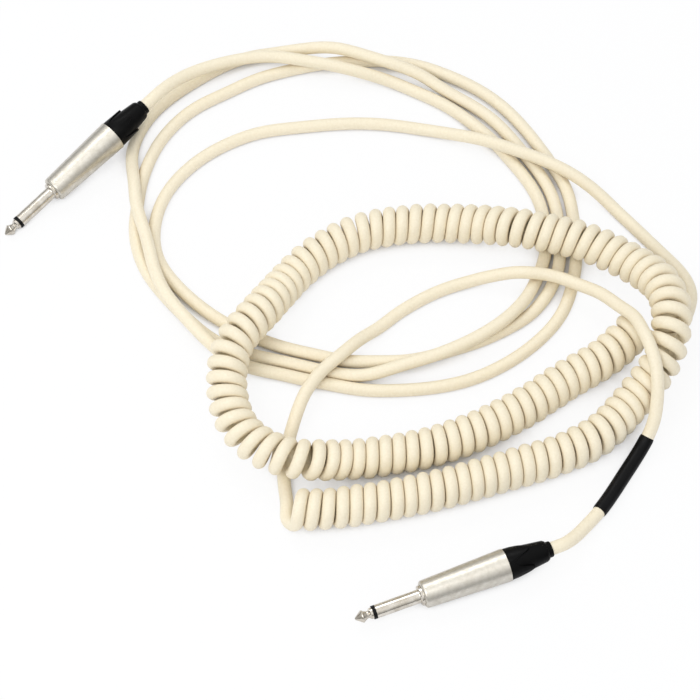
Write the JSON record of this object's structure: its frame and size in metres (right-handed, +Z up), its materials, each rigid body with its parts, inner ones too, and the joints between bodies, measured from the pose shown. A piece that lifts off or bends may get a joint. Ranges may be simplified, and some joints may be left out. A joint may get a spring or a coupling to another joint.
{
  "type": "instrument cable",
  "caption": "Instrument cable with a straight metal jack plug at each end, a long looped lead, a curly stretch and a short lead with a heat-shrink sleeve.",
  "frame": {"origin": "on the floor, under the middle of the box round the two plugs", "axes": "+Z up from the floor that the cable lies on, +X to the right and +Y away from the viewer as the cable lies"},
  "size_m": [0.3384, 0.3224, 0.0345],
  "materials": {
    "polished_nickel": "bright nickel plate",
    "satin_nickel": "satin nickel plate",
    "black_plastic": "smooth black plastic",
    "boot_rubber": "matt black soft plastic",
    "white_plastic": "plain white plastic",
    "copper": "tinned copper strands",
    "jacket": "satin cream cord jacket",
    "shrink_tube": "satin black shrink tube"
  },
  "bodies": {
    "cord_and_contacts": {"tip_contact_a": "polished_nickel", "tip_insulator_a": "black_plastic", "sleeve_contact_a": "polished_nickel", "rear_insulator_a": "black_plastic", "tip_lug_a": "polished_nickel", "ground_lug_a": "polished_nickel", "insert_a": "white_plastic", "core_a": "white_plastic", "centre_conductor_a": "copper", "shield_pigtail_a": "copper", "tip_contact_b": "polished_nickel", "tip_insulator_b": "black_plastic", "sleeve_contact_b": "polished_nickel", "rear_insulator_b": "black_plastic", "tip_lug_b": "polished_nickel", "ground_lug_b": "polished_nickel", "insert_b": "white_plastic", "core_b": "white_plastic", "centre_conductor_b": "copper", "shield_pigtail_b": "copper", "lead_a": "jacket", "curly_section": "jacket", "lead_b": "jacket", "heat_shrink_sleeve": "shrink_tube"},
    "shell_a": {"shell_a": "satin_nickel"},
    "chuck_a": {"chuck_a": "black_plastic"},
    "boot_a": {"boot_a": "boot_rubber"},
    "shell_b": {"shell_b": "satin_nickel"},
    "chuck_b": {"chuck_b": "black_plastic"},
    "boot_b": {"boot_b": "boot_rubber"}
  },
  "joints": [
    {"name": "shell_slide_a", "type": "slide", "parent": "cord_and_contacts", "child": "shell_a", "axis": [-0.6984, -0.6984, -0.1564], "range_m": [0, 0.03]},
    {"name": "chuck_slide_a", "type": "slide", "parent": "cord_and_contacts", "child": "chuck_a", "axis": [0.6984, 0.6984, 0.1564], "range_m": [0, 0.005]},
    {"name": "boot_turn_a", "type": "hinge", "parent": "chuck_a", "child": "boot_a", "pos_m": [-0.07972, 0.12079, 0.01381], "axis": [0.6984, 0.6984, 0.1564], "range_deg": [0, 1800]},
    {"name": "shell_slide_b", "type": "slide", "parent": "cord_and_contacts", "child": "shell_b", "axis": [-0.9362, -0.35, -0.0329], "range_m": [0, 0.03]},
    {"name": "chuck_slide_b", "type": "slide", "parent": "cord_and_contacts", "child": "chuck_b", "axis": [0.9362, 0.35, 0.0329], "range_m": [0, 0.005]},
    {"name": "boot_turn_b", "type": "hinge", "parent": "chuck_b", "child": "boot_b", "pos_m": [0.10955, -0.11181, 0.0078], "axis": [0.9362, 0.35, 0.0329], "range_deg": [0, 1800]}
  ],
  "couplings": [
    {"joint": "chuck_slide_a", "follows": "boot_turn_a", "m_per_rad": 0.00015915},
    {"joint": "chuck_slide_b", "follows": "boot_turn_b", "m_per_rad": 0.00015915}
  ]
}
